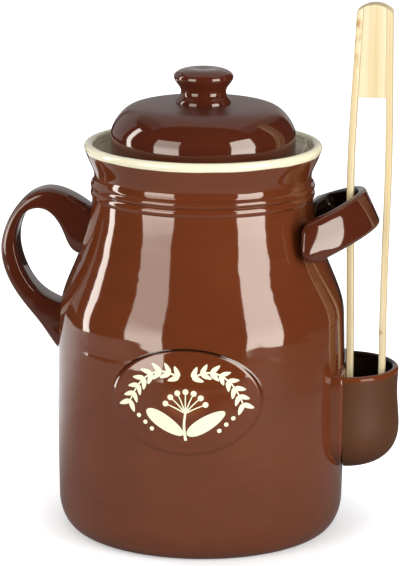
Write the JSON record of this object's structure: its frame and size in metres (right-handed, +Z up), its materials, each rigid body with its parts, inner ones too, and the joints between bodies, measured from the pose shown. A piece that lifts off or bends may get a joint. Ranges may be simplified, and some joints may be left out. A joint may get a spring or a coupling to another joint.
{
  "type": "water seal pickle jar",
  "caption": "Glazed stoneware fermenting jar with a water gutter round its mouth, a bell lid standing in it, an ear handle, weight stones, and bamboo tongs held in a strap loop and half cup.",
  "frame": {"origin": "centre of the jar's foot on the plane it stands on", "axes": "+Z up along the jar's axis, the oval medallion faces -Y, the tongs and their cup are at +X, the ear handle at -X"},
  "size_m": [0.2824, 0.2051, 0.3773],
  "materials": {
    "glaze_brown": "glossy transparent brown glaze over stoneware, cream inside the collar",
    "glaze_matte_brown": "satin brown glaze, less glossy than the jar",
    "fired_stoneware": "unglazed fired stoneware, matte",
    "bamboo": "planed bamboo, smooth, unvarnished"
  },
  "bodies": {
    "jar": {"jar_body": "glaze_brown", "water_collar": "glaze_brown", "ear_handle": "glaze_brown", "strap_loop": "glaze_brown", "tongs_cup": "glaze_matte_brown", "cup_pad": "glaze_brown", "oval_medallion": "glaze_brown"},
    "lid": {"lid_dome": "glaze_brown", "lid_knob": "glaze_brown"},
    "stone_front": {"weight_stone_front": "fired_stoneware"},
    "stone_back": {"weight_stone_back": "fired_stoneware"},
    "tongs": {"tongs_block": "bamboo"},
    "left_arm": {"tongs_left_arm": "bamboo"},
    "right_arm": {"tongs_right_arm": "bamboo"}
  },
  "joints": [
    {"name": "lid_lift", "type": "slide", "parent": "jar", "child": "lid", "axis": [0, 0, 1], "range_m": [0, 0.12]},
    {"name": "tongs_lift", "type": "slide", "parent": "jar", "child": "tongs", "axis": [0, 0, 1], "range_m": [0, 0.24]},
    {"name": "left_arm_squeeze", "type": "hinge", "parent": "tongs", "child": "left_arm", "pos_m": [0.1076, 0, 0.3113], "axis": [0, -1, 0], "range_deg": [0, 1.7], "stiffness_Nm_per_rad": 2},
    {"name": "right_arm_squeeze", "type": "hinge", "parent": "tongs", "child": "right_arm", "pos_m": [0.1266, 0, 0.3113], "axis": [0, 1, 0], "range_deg": [0, 1.7], "stiffness_Nm_per_rad": 2},
    {"name": "stone_front_lift", "type": "slide", "parent": "jar", "child": "stone_front", "axis": [0, 0, 1], "range_m": [0, 0.16]},
    {"name": "stone_back_lift", "type": "slide", "parent": "jar", "child": "stone_back", "axis": [0, 0, 1], "range_m": [0, 0.16]}
  ],
  "couplings": [
    {"joint": "right_arm_squeeze", "follows": "left_arm_squeeze", "ratio": 1}
  ]
}
